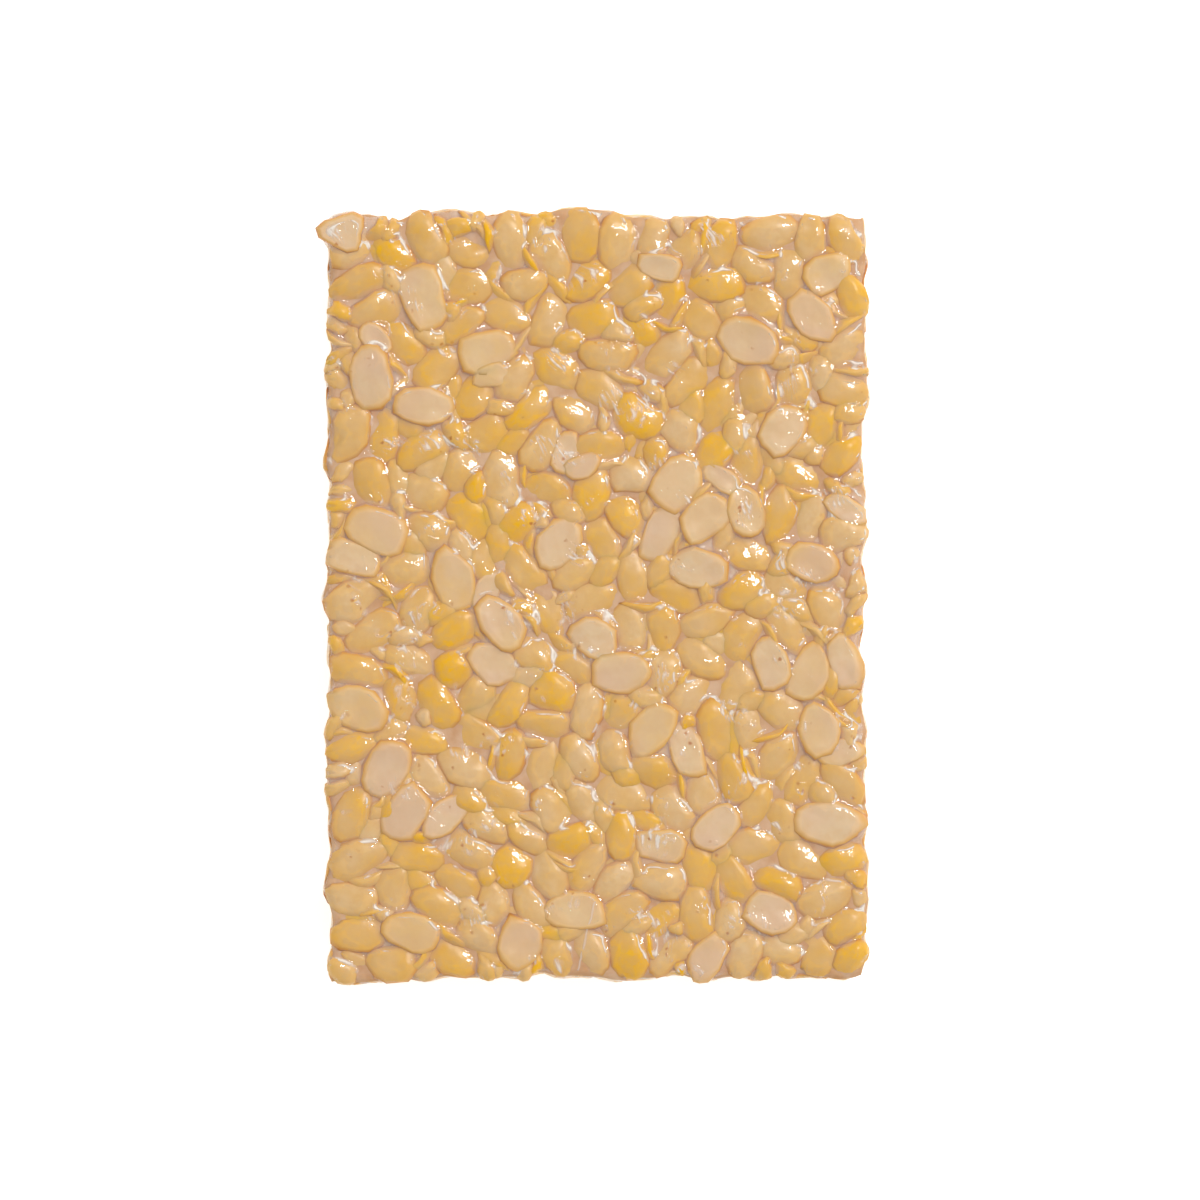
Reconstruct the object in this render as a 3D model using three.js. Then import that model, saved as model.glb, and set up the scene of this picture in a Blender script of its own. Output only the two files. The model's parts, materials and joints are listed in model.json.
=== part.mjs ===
// Tempeh cake: a pressed slab of cooked soybeans, many of them split, bound by pale mould and
// drawn tight into clear film. It is one solid, out to the uneven outline that the film follows.
//
// Units are millimetres, +Z is up, and the origin is the middle of the underside.
//
// The slab starts as a plain box with round edges. Beans are laid on its top and its four walls
// by a seeded rule, and each raises the surface by a low dome. The surface is sampled on the
// domes' crowns and round their feet, so a bean gets a few flat facets, and its neighbours
// share the valleys between them. The underside is pressed flat.

import * as THREE from 'three';
import { ConvexHull } from 'three/addons/math/ConvexHull.js';

// ---------------------------------------------------------------------------------------------
// Driving dimensions

const CAKE = { width: 100, length: 143.6, thickness: 17 };
const RELIEF = { top: 1.6, wall: 1.4 };     // how far the tallest beans stand out
const EDGE_RADIUS = 2.8;                    // round edges of the pressed slab

// A soybean as it lies, and the broken bits that fill the gaps: the mean length and width, and
// how far a length may differ. Widths differ by SLIMMER times that.
const BEAN = { length: 10.3, width: 7.2, spread: 1.3 };
const CHIP = { length: 5.6, width: 3.4, spread: 0.8 };
const SLIMMER = 0.6;

const COUNT = { top: 222, topChips: 60, longWall: 34, shortWall: 24 };
const SPLIT_SHARE = 0.16;                   // share of the drawn beans that lie split side up
const LOWEST_RISE = { whole: 0.7, split: 0.75, chip: 0.4 };   // shares of the face's relief
const SPLIT_RIM = 0.15;                     // a split bean's steep rim, as a share of its radius
const SEED = { top: 2026, walls: 77 };

// A quarter bean sticks out of the left wall, up by the far corner. Its place is along the wall
// and up it, from the middle.
const CORNER_CHIP = { x: -67.5, y: 4, length: 8, width: 6.5, rise: 3 };

// The pieces that catch the eye first lie where they lie: x, y, length, width, turn in degrees.
// Split faces, the flat pale insides of halved beans:
const SPLIT_FACES = [
  [-32, 55, 13, 8.3, 107], [-41, 40.5, 12.6, 7.4, 93], [-32, 35, 11.1, 7, -4],
  [-20.5, 45, 11.1, 8, 18], [27, 47, 11.8, 8.5, -25], [41.5, 59.5, 10, 7.4, 30],
  [38.5, 51.5, 11.1, 7, -50], [33, 30.5, 10.2, 7.8, 55], [14, 21, 11.1, 8.5, 62],
  [19, 14.5, 10.7, 7.8, 42], [18, 5.5, 11.5, 7.4, -5], [39, 6.5, 10.7, 7, -8],
  [38, -13.5, 11.5, 7.4, 62], [40, -24, 10.4, 7.8, -80], [4, -13.5, 11.1, 7.8, 5],
  [9.5, -24, 11.1, 7.8, 55], [-40, 12.5, 11.8, 8.5, -25], [-26.5, 3.5, 11.8, 7.8, 105],
  [-18, -4.5, 11.5, 7.4, -50], [-7.5, 10, 10.4, 7.8, 55], [-43.5, -20, 11.5, 7.8, -25],
  [-38.5, -31, 11.5, 7.8, 60], [-35, -39, 11.1, 7.8, 60], [-34, -61, 11.1, 7.4, -20],
  [-14.5, -63.5, 11.1, 8.1, 85], [-4.5, -57, 11.8, 7.4, -3], [41.5, -41, 13, 8.1, -3],
  [31, -57.5, 10, 7.4, -15],
];
// Plump beans of a deeper yellow:
const DEEP_BEANS = [
  [21, 57.5, 11.1, 7, -5], [7, 33, 10, 7.8, -30], [46, 55, 9.3, 6, -70],
  [-8.5, -17, 9.3, 7.8, -20], [-26.5, -13, 7.8, 7.2, 80], [-16, -49, 8.5, 7.8, -60],
  [-5.5, -44.5, 8.5, 6.3, 15], [18, -49, 10.4, 7, 110], [46, -66, 7.8, 6.7, 50],
];

// ---------------------------------------------------------------------------------------------
// Laying out the beans on a flat face

const EDGE_LAP = 0.45;    // a bean keeps this share of its width inside the face's edge
const SQUEEZE = 0.88;     // pressed beans share some of their width
const PUSH = 0.12;        // share of an overlap that one round of settling undoes
const ROUNDS = 60;
const TRIES = { bean: 24, chip: 160 };

// A small generator of even draws between 0 and 1, the same on every machine.
function makeDraw(seed) {
  let state = seed;
  return () => {
    state = (state * 48271) % 2147483647;
    return state / 2147483647;
  };
}

const vary = (draw, mean, spread) => mean + (draw() * 2 - 1) * spread;

// A bean takes the room of three discs in a row, as wide as it is.
function discs(bean) {
  const reach = (bean.length - bean.width) / 2;
  const along = [Math.cos(bean.turn) * reach, Math.sin(bean.turn) * reach];
  return [-1, 0, 1].map((step) => [bean.x + along[0] * step, bean.y + along[1] * step]);
}

// Clearance from a point to the nearest bean already laid, negative inside one.
function clearance(x, y, beans) {
  let nearest = Infinity;
  for (const bean of beans) {
    for (const [discX, discY] of discs(bean)) {
      const gap = Math.sqrt((x - discX) ** 2 + (y - discY) ** 2) - bean.width / 2;
      nearest = Math.min(nearest, gap);
    }
  }
  return nearest;
}

// Largest first, each piece takes the roomiest of a few drawn places.
function scatter(draw, beans, sizes, face, tries) {
  for (const size of sizes) {
    let best = null;
    for (let attempt = 0; attempt < tries; attempt += 1) {
      const x = vary(draw, 0, face.halfX - size.width * EDGE_LAP);
      const y = vary(draw, 0, face.halfY - size.width * EDGE_LAP);
      const room = clearance(x, y, beans);
      if (!best || room > best.room) best = { x, y, room };
    }
    beans.push({ ...size, x: best.x, y: best.y, fixed: false });
  }
}

function closePairs(beans) {
  const reach = BEAN.length * 1.6;
  const pairs = [];
  beans.forEach((one, i) => {
    beans.slice(i + 1).forEach((other, step) => {
      const apart = Math.sqrt((one.x - other.x) ** 2 + (one.y - other.y) ** 2);
      if (apart < reach) pairs.push([i, i + 1 + step]);
    });
  });
  return pairs;
}

// One round of pushing: how far each bean is moved and turned by those that overlap it.
function pushes(beans, pairs) {
  const moves = beans.map(() => ({ x: 0, y: 0, turn: 0 }));
  const spots = beans.map(discs);
  const push = (index, [spotX, spotY], x, y) => {
    const bean = beans[index];
    const twist = (spotX - bean.x) * y - (spotY - bean.y) * x;
    moves[index].x += x;
    moves[index].y += y;
    moves[index].turn += 4 * twist / (bean.length * bean.width);
  };
  for (const [i, j] of pairs) {
    const touch = (beans[i].width + beans[j].width) / 2 * SQUEEZE;
    for (const one of spots[i]) {
      for (const other of spots[j]) {
        const [dx, dy] = [one[0] - other[0], one[1] - other[1]];
        const apart = Math.sqrt(dx * dx + dy * dy);
        if (apart >= touch || apart === 0) continue;
        const share = (touch - apart) * PUSH / apart;
        push(i, one, dx * share, dy * share);
        push(j, other, -dx * share, -dy * share);
      }
    }
  }
  return moves;
}

// Crowded beans push each other apart and turn until they lie side by side.
function settle(beans, face) {
  const pairs = closePairs(beans);
  const over = (value, half) => Math.max(Math.abs(value) - half, 0) * Math.sign(value);
  for (let round = 0; round < ROUNDS; round += 1) {
    const moves = pushes(beans, pairs);
    beans.forEach((bean, index) => {
      if (bean.fixed) return;
      bean.x += moves[index].x;
      bean.y += moves[index].y;
      bean.turn += moves[index].turn;
      for (const [x, y] of discs(bean)) {
        bean.x -= over(x, face.halfX - bean.width * EDGE_LAP);
        bean.y -= over(y, face.halfY - bean.width * EDGE_LAP);
      }
    });
  }
}

// Sizes for a number of beans or chips, largest first.
function drawSizes(draw, count, mean, turnSpread) {
  const sizes = [];
  for (let index = 0; index < count; index += 1) {
    const bean = draw() < SPLIT_SHARE ? 'split' : 'whole';
    const kind = mean === CHIP ? 'chip' : bean;
    sizes.push({
      kind,
      length: vary(draw, mean.length, mean.spread),
      width: vary(draw, mean.width, mean.spread * SLIMMER),
      turn: vary(draw, 0, turnSpread),
      rise: LOWEST_RISE[kind] + draw() * (1 - LOWEST_RISE[kind]),
    });
  }
  return sizes.sort((one, other) => other.length * other.width - one.length * one.width);
}

function placed(rows, kind) {
  return rows.map(([x, y, length, width, degrees]) => (
    { kind, x, y, length, width, turn: THREE.MathUtils.degToRad(degrees), rise: 1, fixed: true }
  ));
}

function layTop(face) {
  const draw = makeDraw(SEED.top);
  const beans = [...placed(SPLIT_FACES, 'split'), ...placed(DEEP_BEANS, 'whole')];
  const drawn = drawSizes(draw, COUNT.top - beans.length, BEAN, Math.PI / 2);
  scatter(draw, beans, drawn, face, TRIES.bean);
  settle(beans, face);
  scatter(draw, beans, drawSizes(draw, COUNT.topChips, CHIP, Math.PI / 2), face, TRIES.chip);
  return beans;
}

// A wall is a strip whose beans lie nearly level, in about two rows.
function layWall(draw, face, count) {
  const beans = [];
  scatter(draw, beans, drawSizes(draw, count, BEAN, Math.PI / 6), face, TRIES.bean);
  settle(beans, face);
  return beans;
}

// ---------------------------------------------------------------------------------------------
// The domes, and where the surface is sampled on them

// Rings on a bean's crown, each at a share of its outline, and the ring round its foot.
const RINGS = {
  whole: [{ share: 0.32, points: 2 }, { share: 0.74, points: 7 }],
  split: [{ share: 0.84, points: 8 }],
  chip: [{ share: 0.55, points: 3 }],
};
const FOOT = { points: 9, from: 0.8, step: 0.04, rise: 0.12 };
const CLOSEST = 1.05;     // nearer samples than this are left out
const EDGE_STRIP = 0.5;   // bare strip along a face's edge
const EDGE_PULL = 2.4;    // an edge is as high as the surface this far in
const RIM_STEP = 3.6;     // spacing of the samples on an edge

function spotOn(bean, angle, share) {
  const along = Math.cos(angle) * share * bean.length / 2;
  const across = Math.sin(angle) * share * bean.width / 2;
  const [cos, sin] = [Math.cos(bean.turn), Math.sin(bean.turn)];
  return [bean.x + along * cos - across * sin, bean.y + along * sin + across * cos];
}

// How high a bean stands over a spot, as a share of the face's relief. A whole bean is round,
// and a split one is a flat table with a steep rim.
function dome(bean, [x, y]) {
  const [dx, dy] = [x - bean.x, y - bean.y];
  const [cos, sin] = [Math.cos(bean.turn), Math.sin(bean.turn)];
  const along = (dx * cos + dy * sin) / (bean.length / 2);
  const across = (dy * cos - dx * sin) / (bean.width / 2);
  const out = Math.sqrt(along * along + across * across);
  if (out >= 1) return 0;
  const table = Math.min(1, (1 - out) / SPLIT_RIM);
  return bean.rise * (bean.kind === 'split' ? table : Math.sqrt(1 - out * out));
}

const relief = (spot, beans) => Math.max(0, ...beans.map((bean) => dome(bean, spot)));

const around = (count) => Array.from({ length: count }, (_, step) => step * 2 * Math.PI / count);

// The spots of a bean's crown that no neighbour covers.
function crownSpots(bean, beans) {
  const spots = RINGS[bean.kind].flatMap(({ share, points }) => (
    around(points).map((angle) => spotOn(bean, angle, share))
  ));
  return spots.filter((spot) => relief(spot, beans) === dome(bean, spot));
}

// The foot of a bean: in each direction, where a neighbour takes over or its own outline ends.
function footSpots(bean, beans) {
  return around(FOOT.points).map((angle) => {
    let share = FOOT.from;
    const open = (spot) => relief(spot, beans) === dome(bean, spot);
    while (share < 1 && open(spotOn(bean, angle, share))) share += FOOT.step;
    return spotOn(bean, angle, share);
  });
}

// Samples of one face: the crowns first, then the feet wherever there is still room, then the
// edges, where the film takes the height of the outermost beans with it.
function sampleFace(face, beans) {
  const kept = [];
  const keep = ([x, y], share) => {
    if (kept.some((spot) => Math.hypot(spot.x - x, spot.y - y) < CLOSEST)) return;
    kept.push({ x, y, rise: share * face.relief });
  };
  const inside = ([x, y]) => (
    Math.abs(x) < face.halfX - EDGE_STRIP && Math.abs(y) < face.halfY - EDGE_STRIP
  );
  const pull = (value, half) => Math.sign(value) * Math.min(Math.abs(value), half - EDGE_PULL);

  for (const bean of beans) {
    for (const spot of crownSpots(bean, beans).filter(inside)) keep(spot, dome(bean, spot));
  }
  for (const bean of beans) {
    for (const spot of footSpots(bean, beans).filter(inside)) keep(spot, FOOT.rise);
  }
  for (const [x, y] of face.rim) {
    keep([x, y], relief([pull(x, face.halfX), pull(y, face.halfY)], beans));
  }
  return kept;
}

// ---------------------------------------------------------------------------------------------
// The faces of the box that the domes rise from

const HALF = new THREE.Vector3(
  CAKE.width / 2 - RELIEF.wall,
  CAKE.length / 2 - RELIEF.wall,
  (CAKE.thickness - RELIEF.top) / 2,
);

const axis = (x, y, z) => new THREE.Vector3(x, y, z);

// A face's x runs along it and its y across it, both from the middle.
function makeFace(outward, along, tallest) {
  const across = new THREE.Vector3().crossVectors(outward, along);
  const half = (direction) => Math.abs(direction.dot(HALF));
  return {
    outward,
    along,
    across,
    distance: half(outward),
    halfX: half(along),
    halfY: half(across),
    relief: tallest,
    rim: [],
  };
}

// A row of spots at one height, and rows along the four sides of a rectangle.
function row(halfLength, y) {
  const steps = Math.floor(2 * halfLength / RIM_STEP);
  return Array.from({ length: steps + 1 }, (_, step) => [(2 * step / steps - 1) * halfLength, y]);
}

function rectangle(halfX, halfY) {
  const turned = ([x, y]) => [y, x];
  return [
    ...row(halfX, halfY),
    ...row(halfX, -halfY),
    ...row(halfY, halfX).map(turned),
    ...row(halfY, -halfX).map(turned),
  ];
}

function makeTop() {
  const face = makeFace(axis(0, 0, 1), axis(1, 0, 0), RELIEF.top);
  face.rim = rectangle(face.halfX, face.halfY);
  return { face, spots: sampleFace(face, layTop(face)) };
}

// Walls 0 and 2 are the long ones, at the right and the left.
function makeWall(side, draw) {
  const turn = side * Math.PI / 2;
  const outward = axis(Math.round(Math.cos(turn)), Math.round(Math.sin(turn)), 0);
  const along = new THREE.Vector3().crossVectors(axis(0, 0, 1), outward);
  const face = makeFace(outward, along, RELIEF.wall);
  const beans = layWall(draw, face, side % 2 === 0 ? COUNT.longWall : COUNT.shortWall);
  if (side === 2) {
    const rise = CORNER_CHIP.rise / RELIEF.wall;
    beans.push({ ...CORNER_CHIP, kind: 'split', turn: 0, rise });
  }
  face.rim = row(face.halfX - EDGE_RADIUS / 2, -face.halfY);
  return { face, spots: sampleFace(face, beans) };
}

function makeUnderside() {
  const face = makeFace(axis(0, 0, -1), axis(1, 0, 0), 0);
  face.rim = rectangle(face.halfX - EDGE_RADIUS, face.halfY - EDGE_RADIUS);
  return { face, spots: sampleFace(face, []) };
}

// ---------------------------------------------------------------------------------------------
// The skin over the samples

function pointOnFace(face, spot, distance) {
  return face.outward.clone().multiplyScalar(distance)
    .addScaledVector(face.along, spot.x)
    .addScaledVector(face.across, spot.y);
}

// From a spot of a face to the box with round edges, raised by the relief. Nothing reaches
// below the underside, which the table presses flat.
function surfacePoint(face, spot) {
  const onBox = pointOnFace(face, spot, face.distance);
  const inner = HALF.clone().subScalar(EDGE_RADIUS);
  const centre = onBox.clone().clamp(inner.clone().negate(), inner);
  const outward = onBox.sub(centre).normalize();
  const point = centre.addScaledVector(outward, EDGE_RADIUS + spot.rise);
  return point.setZ(Math.max(point.z, -HALF.z));
}

// A convex hull joins the samples into triangles. For that each face is blown up into a
// paraboloid, because the hull of points on a paraboloid joins each one to those nearest to it.
const BULGE = 0.004;

function blownUpPoint(face, spot) {
  const swell = face.halfX ** 2 + face.halfY ** 2 - spot.x ** 2 - spot.y ** 2;
  return pointOnFace(face, spot, face.distance + BULGE * swell);
}

function makeSkin(patches) {
  const points = [];
  const order = new Map();
  for (const { face, spots } of patches) {
    for (const spot of spots) {
      order.set(blownUpPoint(face, spot), points.length);
      points.push(surfacePoint(face, spot));
    }
  }
  const hull = new ConvexHull().setFromPoints([...order.keys()]);
  const corners = [];
  for (const triangle of hull.faces) {
    let edge = triangle.edge;
    do {
      corners.push(order.get(edge.head().point));
      edge = edge.next;
    } while (edge !== triangle.edge);
  }
  const geometry = new THREE.BufferGeometry().setFromPoints(points);
  geometry.setIndex(corners);
  return geometry;
}

const wallDraw = makeDraw(SEED.walls);
const geometry = makeSkin([
  makeTop(),
  ...[0, 1, 2, 3].map((side) => makeWall(side, wallDraw)),
  makeUnderside(),
]);
// The chip sticks out on one side only, so the slab stands half as far to the other side.
geometry.translate((CORNER_CHIP.rise - RELIEF.wall) / 2, 0, HALF.z);
geometry.computeVertexNormals();

const cake = new THREE.Mesh(
  geometry,
  new THREE.MeshStandardMaterial({ color: 0xdcb076, roughness: 0.35, metalness: 0 }),
);
cake.name = 'tempeh_cake';

const group = new THREE.Group();
group.add(cake);

export default group;
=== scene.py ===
# %% [markdown]
# # A tempeh cake in clear film
#
# Tempeh is a slab of cooked soybeans, bound into one piece by a pale mould. This cake was pressed
# flat and drawn tight into clear film, so each bean near the surface shows as a low bump under a
# glossy skin. Many beans have split in two and show their flat pale insides. We lay the beans by
# a rule, set them in a core of mould, and stretch a film over everything.

import json
import math
import time

import bpy
import numpy as np
from mathutils import Matrix, Vector
from mathutils.bvhtree import BVHTree

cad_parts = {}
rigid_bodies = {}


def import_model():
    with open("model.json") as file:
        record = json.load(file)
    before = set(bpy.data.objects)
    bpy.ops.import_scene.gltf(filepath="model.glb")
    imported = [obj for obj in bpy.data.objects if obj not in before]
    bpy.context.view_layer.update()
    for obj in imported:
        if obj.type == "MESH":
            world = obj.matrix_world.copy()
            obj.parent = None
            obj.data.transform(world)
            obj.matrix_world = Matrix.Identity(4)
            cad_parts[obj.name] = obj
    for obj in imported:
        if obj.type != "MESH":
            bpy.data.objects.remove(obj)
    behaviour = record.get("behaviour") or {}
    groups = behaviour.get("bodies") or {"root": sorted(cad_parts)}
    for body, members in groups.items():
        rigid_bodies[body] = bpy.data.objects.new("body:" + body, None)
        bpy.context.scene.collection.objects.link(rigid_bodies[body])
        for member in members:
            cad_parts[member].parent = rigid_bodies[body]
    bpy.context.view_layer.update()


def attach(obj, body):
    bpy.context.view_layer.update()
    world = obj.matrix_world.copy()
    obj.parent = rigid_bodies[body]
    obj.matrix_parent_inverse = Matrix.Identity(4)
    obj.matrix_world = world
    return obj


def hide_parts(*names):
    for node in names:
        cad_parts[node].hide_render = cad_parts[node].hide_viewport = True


started = time.time()
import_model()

# %% [markdown]
# ## The sizes of the cake
#
# The solid model is a box with round edges whose faces are raised by the beans. We repeat its
# sizes, in millimetres, so that the beans lie where the solid has its bumps. They are laid out
# on the box `LAID`. The real sides are flatter than the top, so here the beans sit on a slightly
# wider box, `HALF`, and stand out less there. The box is centred on the origin while we work,
# and `TO_FRAME` moves what is finished to its place.

# %% Sizes
MM = 0.001
SIZE = {"width": 100, "length": 143.6, "thickness": 17}
RELIEF = {"top": 1.9, "wall": 0.8, "underside": 1.6}
LAID_RELIEF = {"top": 1.6, "wall": 1.4}
EDGE_RADIUS = 0.8
LAID = np.array([SIZE["width"] / 2 - LAID_RELIEF["wall"],
                 SIZE["length"] / 2 - LAID_RELIEF["wall"],
                 (SIZE["thickness"] - LAID_RELIEF["top"]) / 2])
WIDER = 0.6
HALF = LAID + np.array([WIDER, WIDER, 0])
CHIP_REACH = 1.6     # how far the chip at one corner stands out of the side
TO_FRAME = np.array([CHIP_REACH / 2, 0, HALF[2]])

BEAN = {"length": 10.3, "width": 7.2, "spread": 1.3}
CHIP = {"length": 5.6, "width": 3.4, "spread": 0.8}
SLIMMER = 0.6        # widths spread by this share of what lengths do
COUNT = {"top": 222, "top chips": 60, "walls": (34, 24), "underside": 215, "underside chips": 60}
SPLIT_SHARE = 0.16
LOWEST_RISE = {"whole": 0.7, "split": 0.75, "chip": 0.4}
SEED = {"top": 2026, "walls": 77, "underside": 411, "halves": 35,
        "looks": 5, "shapes": 8, "sides": 12}
print("box of", *(round(float(2 * half), 1) for half in HALF), "mm inside the beans")

# %% [markdown]
# The pieces that catch the eye first are placed one by one, and the rest are drawn. Each row is
# x, y, length, width and turn in degrees.

# %% Pieces placed one by one
SPLIT_FACES = [
    [-32, 55, 13, 8.3, 107], [-41, 40.5, 12.6, 7.4, 93], [-32, 35, 11.1, 7, -4],
    [-20.5, 45, 11.1, 8, 18], [27, 47, 11.8, 8.5, -25], [41.5, 59.5, 10, 7.4, 30],
    [38.5, 51.5, 11.1, 7, -50], [33, 30.5, 10.2, 7.8, 55], [14, 21, 11.1, 8.5, 62],
    [19, 14.5, 10.7, 7.8, 42], [18, 5.5, 11.5, 7.4, -5], [39, 6.5, 10.7, 7, -8],
    [38, -13.5, 11.5, 7.4, 62], [40, -24, 10.4, 7.8, -80], [4, -13.5, 11.1, 7.8, 5],
    [9.5, -24, 11.1, 7.8, 55], [-40, 12.5, 11.8, 8.5, -25], [-26.5, 3.5, 11.8, 7.8, 105],
    [-18, -4.5, 11.5, 7.4, -50], [-7.5, 10, 10.4, 7.8, 55], [-43.5, -20, 11.5, 7.8, -25],
    [-38.5, -31, 11.5, 7.8, 60], [-35, -39, 11.1, 7.8, 60], [-34, -61, 11.1, 7.4, -20],
    [-14.5, -63.5, 11.1, 8.1, 85], [-4.5, -57, 11.8, 7.4, -3], [41.5, -41, 13, 8.1, -3],
    [31, -57.5, 10, 7.4, -15],
]
DEEP_BEANS = [
    [21, 57.5, 11.1, 7, -5], [7, 33, 10, 7.8, -30], [46, 55, 9.3, 6, -70],
    [-8.5, -17, 9.3, 7.8, -20], [-26.5, -13, 7.8, 7.2, 80], [-16, -49, 8.5, 7.8, -60],
    [-5.5, -44.5, 8.5, 6.3, 15], [18, -49, 10.4, 7, 110], [46, -66, 7.8, 6.7, 50],
]
print(len(SPLIT_FACES), "split faces and", len(DEEP_BEANS), "deep beans are placed by hand")

# %% [markdown]
# ## Laying the beans on a flat face
#
# Beans in a pressed cake lie flat, side by side, as close as they will go. A simulation of their
# fall takes long and ends differently each time a size is changed. Instead each bean takes the
# roomiest of a few drawn places. The draws come from a tiny generator of our own, which gives
# the solid model and this scene the same layout.

# %% Draws, and the room round a place
MULTIPLIER = 48271
MODULUS = 2147483647
DISCS = np.array([-1, 0, 1])     # a bean takes the room of three discs in a row


def make_draw(seed):
    """Even draws between 0 and 1, the same on every machine."""
    state = seed

    def draw():
        nonlocal state
        state = state * MULTIPLIER % MODULUS
        return state / MODULUS
    return draw


def vary(draw, mean, spread):
    return mean + (draw() * 2 - 1) * spread


def as_arrays(beans):
    """The beans' places with their turns, their lengths, and their widths."""
    names = ("x", "y", "turn", "length", "width")
    rows = np.array([[bean[name] for name in names] for bean in beans])
    return rows[:, :3], rows[:, 3], rows[:, 4]


def disc_centres(places, lengths, widths):
    """The centres of each bean's discs, by bean and disc."""
    along = np.stack([np.cos(places[:, 2]), np.sin(places[:, 2])], axis=1)
    reach = ((lengths - widths) / 2)[:, None] * along
    return places[:, None, :2] + DISCS[None, :, None] * reach[:, None, :]


def clearance(spots, beans):
    """The way from each spot to the nearest bean, negative inside one."""
    if not beans:
        return np.full(len(spots), np.inf)
    places, lengths, widths = as_arrays(beans)
    centres = disc_centres(places, lengths, widths).reshape(-1, 2)
    apart = np.sqrt(((spots[:, None, :] - centres[None]) ** 2).sum(axis=2))
    return (apart - np.repeat(widths / 2, len(DISCS))).min(axis=1)


def roomiest(draw, beans, half, margin, tries):
    """The drawn place with the most room round it."""
    limits = [side - margin for side in half]
    spots = np.array([[vary(draw, 0, limit) for limit in limits] for _ in range(tries)])
    return spots[int(np.argmax(clearance(spots, beans)))]


# %% [markdown]
# Crowded beans then push each other apart and turn, a little at a time, until they lie side by
# side. Only discs that overlap push. Small chips come last, in the gaps.

# %% Lay one face
EDGE_LAP = 0.45      # a bean's middle keeps this share of its width inside the edge
TRIES = {"bean": 24, "chip": 160}
SQUEEZE = 0.88       # how close two beans may lie, as a share of their widths
NEIGHBOUR = 1.6      # bean lengths within which two beans may meet
PUSH = 0.12
TWIST = 4
ROUNDS = 60


def scatter(draw, beans, sizes, half, tries, edge=EDGE_LAP):
    """Largest first, each piece takes its roomiest place."""
    for size in sizes:
        x, y = roomiest(draw, beans, half, size["width"] * edge, tries)
        beans.append({**size, "x": x, "y": y, "fixed": False})


def settle(beans, half):
    """Beans that overlap push each other, and none goes over the edge."""
    places, lengths, widths = as_arrays(beans)
    loose = np.array([not bean["fixed"] for bean in beans])
    limits = np.array(half)[None, None] - (widths * EDGE_LAP)[:, None, None]
    gaps = places[:, None, :2] - places[None, :, :2]
    near = np.sqrt((gaps ** 2).sum(axis=2)) < BEAN["length"] * NEIGHBOUR
    first, second = np.nonzero(np.triu(near, 1))
    touch = ((widths[first] + widths[second]) / 2 * SQUEEZE)[:, None, None]
    for _ in range(ROUNDS):
        spots = disc_centres(places, lengths, widths)
        step = spots[first][:, :, None] - spots[second][:, None]
        apart = np.sqrt((step ** 2).sum(axis=3))
        pushed = (apart < touch) & (apart > 0)
        share = np.where(pushed, (touch - apart) * PUSH / np.where(pushed, apart, 1), 0)
        step = step * share[..., None]
        moves = np.zeros_like(places)
        for bean, force, other in ((first, step, 2), (second, -step, 1)):
            force = force.sum(axis=other)
            lever = spots[bean] - places[bean][:, None, :2]
            twist = (lever[..., 0] * force[..., 1] - lever[..., 1] * force[..., 0]).sum(axis=1)
            np.add.at(moves[:, :2], bean, force.sum(axis=1))
            np.add.at(moves[:, 2], bean, TWIST * twist / (lengths[bean] * widths[bean]))
        places[loose] += moves[loose]
        spots = disc_centres(places, lengths, widths)
        over = np.maximum(np.abs(spots) - limits, 0) * np.sign(spots)
        places[loose, :2] -= over.sum(axis=1)[loose]
    for bean, (x, y, turn) in zip(beans, places):
        bean.update(x=x, y=y, turn=turn)


def draw_sizes(draw, count, mean, turn_spread):
    """Sizes for a number of beans or chips, largest first."""
    sizes = []
    for _ in range(count):
        kind = "split" if draw() < SPLIT_SHARE else "whole"
        kind = kind if mean is BEAN else "chip"
        low = LOWEST_RISE[kind]
        sizes.append({"kind": kind, "length": vary(draw, mean["length"], mean["spread"]),
                      "width": vary(draw, mean["width"], mean["spread"] * SLIMMER),
                      "turn": vary(draw, 0, turn_spread), "rise": low + draw() * (1 - low)})
    return sorted(sizes, key=lambda size: -size["length"] * size["width"])


def placed(rows, kind):
    return [{"kind": kind, "x": x, "y": y, "length": length, "width": width,
             "turn": math.radians(degrees), "rise": 1, "fixed": True}
            for x, y, length, width, degrees in rows]


def lay_face(draw, beans, half, count, chips, turn_spread=math.pi / 2):
    """Whole and split beans round those that are there already, then chips in the gaps."""
    sizes = draw_sizes(draw, count - len(beans), BEAN, turn_spread)
    scatter(draw, beans, sizes, half, TRIES["bean"])
    settle(beans, half)
    scatter(draw, beans, draw_sizes(draw, chips, CHIP, turn_spread), half, TRIES["chip"])
    return beans


# %% [markdown]
# ## Loose bits in the gaps
#
# What follows is too thin for the solid model, so only this scene has it. Slimmer beans leave
# room for small ones, skins and slivers, each turned along its gap, and for crumbs. Under most
# split faces the bean's other half has slipped to one side and shows as a golden crescent.

# %% Fill the gaps
SLIM = 0.91
FACE_DOWN = 0.5      # the share of the drawn split beans that lie on their flat face
SMALL_BEAN = {"length": 7.6, "width": 4.7, "spread": 1.3}
SMALL_KINDS = {"split": 0.09, "whole": 1}
SLIVER = {"length": 8.4, "width": 2.4, "spread": 1.8}
CRUMB = {"length": 4.2, "width": 2.8, "spread": 0.9, "edge": 0.5, "tries": 240}
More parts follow.
